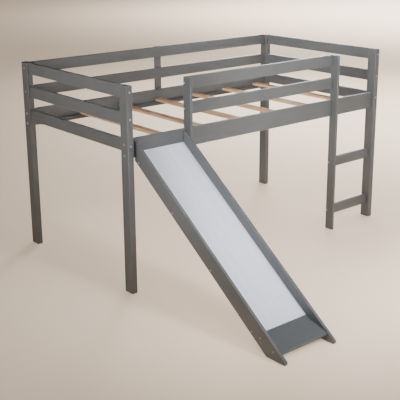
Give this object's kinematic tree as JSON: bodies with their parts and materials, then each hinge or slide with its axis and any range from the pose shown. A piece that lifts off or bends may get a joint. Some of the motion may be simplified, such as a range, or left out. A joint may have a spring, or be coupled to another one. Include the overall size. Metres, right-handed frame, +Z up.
{
  "type": "loft bed",
  "caption": "Low wooden loft bed in grey paint with a slatted base, rails all round, a short ladder and a slide.",
  "frame": {"origin": "on the floor, under the centre of the whole footprint, slide included", "axes": "+Z up, +X along the bed from the slide's end to the ladder's end, +Y from the slide's foot to the back of the bed"},
  "size_m": [2.0096, 2.1812, 1.14],
  "materials": {
    "grey_paint": "satin paint",
    "bare_wood": "planed, unpainted",
    "zinc_plate": "zinc plated",
    "white_laminate": "smooth white"
  },
  "bodies": {
    "root": {"leg_front_left": "grey_paint", "leg_front_right": "grey_paint", "leg_back_left": "grey_paint", "leg_back_right": "grey_paint", "end_rail_left_top": "grey_paint", "end_rail_left_middle": "grey_paint", "end_rail_left_low": "grey_paint", "end_rail_right_top": "grey_paint", "end_rail_right_middle": "grey_paint", "end_rail_right_low": "grey_paint", "side_rail_front": "grey_paint", "side_rail_back": "grey_paint", "back_rail_top": "grey_paint", "back_rail_middle": "grey_paint", "back_stay": "grey_paint", "slide_post": "grey_paint", "ladder_post": "grey_paint", "guard_rail_top": "grey_paint", "guard_rail_middle": "grey_paint", "rung_lower": "grey_paint", "rung_upper": "grey_paint", "cleat_front": "grey_paint", "cleat_back": "grey_paint", "slide_board_left": "grey_paint", "slide_board_right": "grey_paint", "slide_batten_1": "grey_paint", "slide_batten_2": "grey_paint", "slide_batten_3": "grey_paint", "slide_batten_4": "grey_paint", "slide_exit": "grey_paint", "slat_1": "bare_wood", "slat_2": "bare_wood", "slat_3": "bare_wood", "slat_4": "bare_wood", "slat_5": "bare_wood", "slat_6": "bare_wood", "slat_7": "bare_wood", "slide_sheet": "white_laminate", "bed_bolt_front_left_upper": "zinc_plate", "bed_bolt_front_left_lower": "zinc_plate", "bed_bolt_front_right_upper": "zinc_plate", "bed_bolt_front_right_lower": "zinc_plate", "bed_bolt_back_left_upper": "zinc_plate", "bed_bolt_back_left_lower": "zinc_plate", "bed_bolt_back_right_upper": "zinc_plate", "bed_bolt_back_right_lower": "zinc_plate", "barrel_nut_front_left_upper": "zinc_plate", "barrel_nut_front_left_lower": "zinc_plate", "barrel_nut_front_right_upper": "zinc_plate", "barrel_nut_front_right_lower": "zinc_plate", "barrel_nut_back_left_upper": "zinc_plate", "barrel_nut_back_left_lower": "zinc_plate", "barrel_nut_back_right_upper": "zinc_plate", "barrel_nut_back_right_lower": "zinc_plate"}
  },
  "joints": []
}
